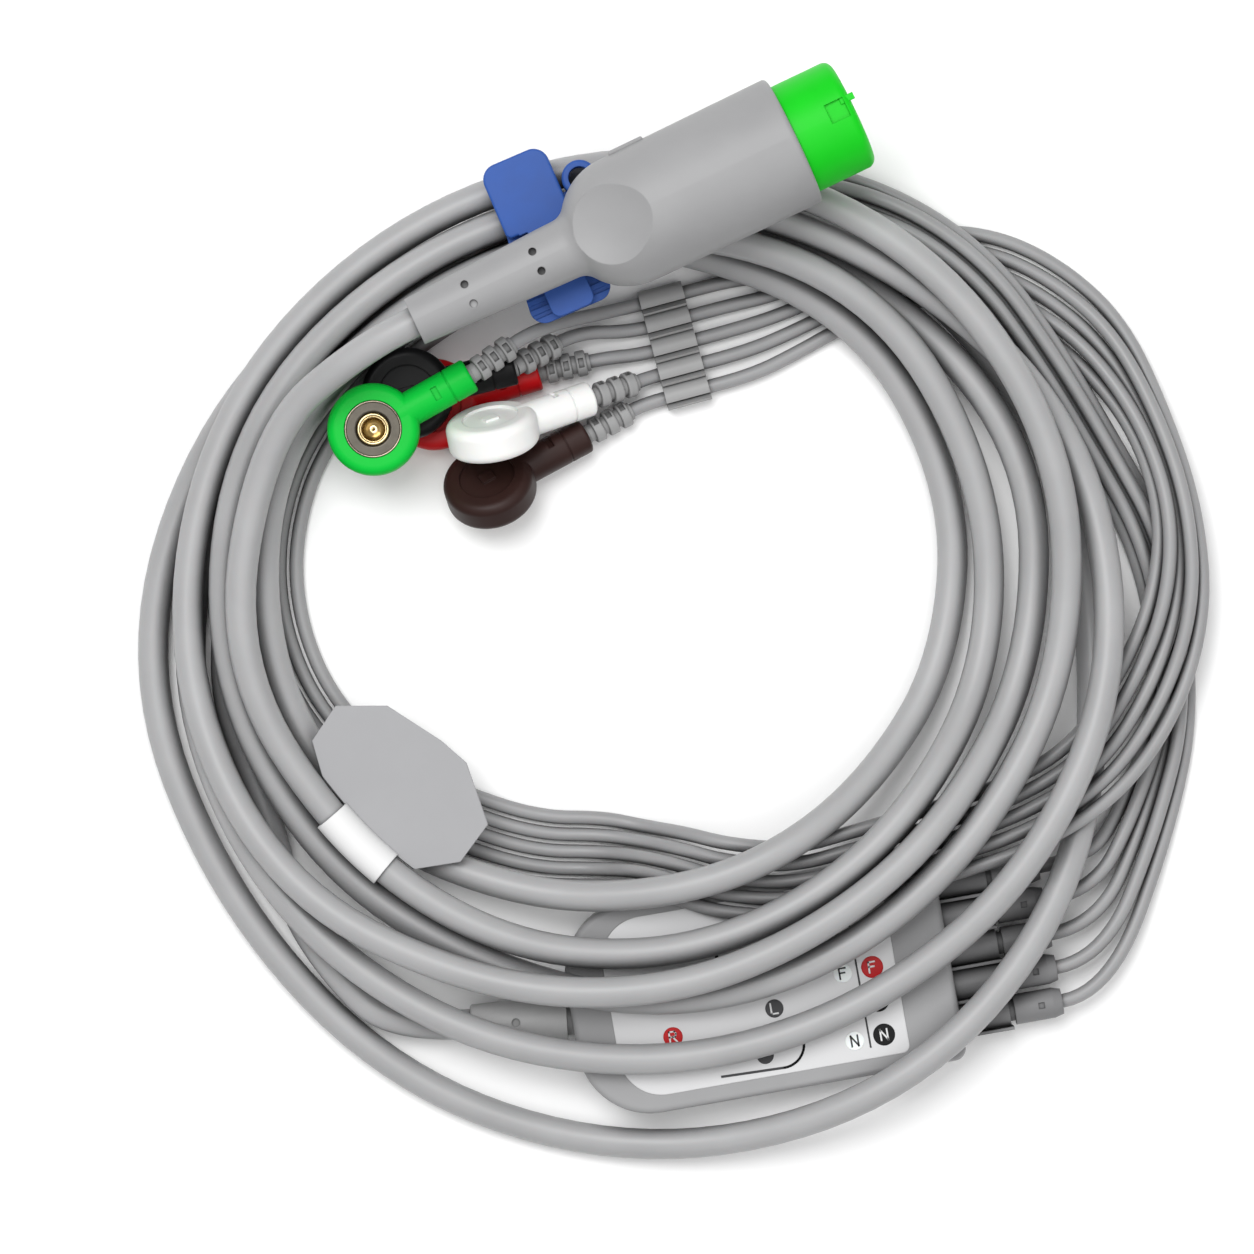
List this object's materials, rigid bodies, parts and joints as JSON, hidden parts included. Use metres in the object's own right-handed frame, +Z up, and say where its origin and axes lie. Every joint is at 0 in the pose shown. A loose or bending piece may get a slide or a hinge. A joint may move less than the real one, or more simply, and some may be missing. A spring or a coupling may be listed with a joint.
{
  "type": "ecg patient cable set",
  "caption": "Coiled heart-monitor patient cable: round keyed plug, thick trunk, flat yoke and thin colour-coded leads with press-stud snaps, lead comb, cable clip and tag.",
  "frame": {"origin": "middle of the coil on the surface that the set lies on", "axes": "+Z up, +Y towards the plug's side of the coil, as in the picture"},
  "size_m": [0.1739, 0.1796, 0.0406],
  "materials": {
    "trunk_jacket": "satin",
    "lead_jacket": "satin",
    "plug_grey": "satin",
    "plug_green": "satin",
    "insert_grey": "matte",
    "gold_contact": "polished",
    "yoke_grey": "satin",
    "label_film": "satin",
    "boot_grey": "satin",
    "lead_plug_grey": "satin",
    "board_green": "satin",
    "resistor_tan": "satin",
    "comb_grey": "satin",
    "snap_steel": "brushed",
    "clip_blue": "gloss",
    "clip_steel": "brushed",
    "tag_grey": "satin",
    "tag_white": "satin",
    "snap_brown": "satin",
    "snap_white": "satin",
    "snap_red": "satin",
    "snap_black": "satin",
    "snap_green": "satin"
  },
  "bodies": {
    "cable_set": {"board_posts": "yoke_grey", "cable_tag": "tag_grey", "clip_base": "clip_blue", "clip_pin": "clip_steel", "clip_spring": "clip_steel", "contact_pins": "gold_contact", "lead_pins": "gold_contact", "lead_plug_black": "lead_plug_grey", "lead_plug_brown": "lead_plug_grey", "lead_plug_green": "lead_plug_grey", "lead_plug_red": "lead_plug_grey", "lead_plug_white": "lead_plug_grey", "lead_wire_black": "lead_jacket", "lead_wire_brown": "lead_jacket", "lead_wire_green": "lead_jacket", "lead_wire_red": "lead_jacket", "lead_wire_white": "lead_jacket", "pin_insert": "insert_grey", "plug_overmould": "plug_grey", "plug_shell": "plug_green", "snap_body_black": "snap_black", "snap_body_brown": "snap_brown", "snap_body_green": "snap_green", "snap_body_red": "snap_red", "snap_body_white": "snap_white", "snap_boot_black": "boot_grey", "snap_boot_brown": "boot_grey", "snap_boot_green": "boot_grey", "snap_boot_red": "boot_grey", "snap_boot_white": "boot_grey", "snap_collar_black": "snap_steel", "snap_collar_brown": "snap_steel", "snap_collar_green": "snap_steel", "snap_collar_red": "snap_steel", "snap_collar_white": "snap_steel", "snap_socket_black": "gold_contact", "snap_socket_brown": "gold_contact", "snap_socket_green": "gold_contact", "snap_socket_red": "gold_contact", "snap_socket_white": "gold_contact", "socket_block": "lead_plug_grey", "tag_wrap": "tag_white", "trunk_cable": "trunk_jacket", "trunk_plug_run": "trunk_jacket", "trunk_yoke_run": "trunk_jacket", "yoke_board": "board_green", "yoke_boot": "boot_grey", "yoke_label": "label_film", "yoke_lower_shell": "yoke_grey", "yoke_resistors": "resistor_tan", "yoke_sockets": "gold_contact", "yoke_upper_shell": "yoke_grey"},
    "clip_lever": {"clip_lever": "clip_blue"},
    "comb": {"lead_comb": "comb_grey"}
  },
  "joints": [
    {"name": "clip_press", "type": "hinge", "parent": "cable_set", "child": "clip_lever", "pos_m": [-0.0188, 0.06839, 0.02125], "axis": [-0.9184, -0.3955, 0], "range_deg": [0, 10], "stiffness_Nm_per_rad": 0.02, "springref_deg": -22.92},
    {"name": "comb_slide", "type": "slide", "parent": "cable_set", "child": "comb", "axis": [0.9659, 0.2588, 0], "range_m": [0, 0.004]}
  ]
}
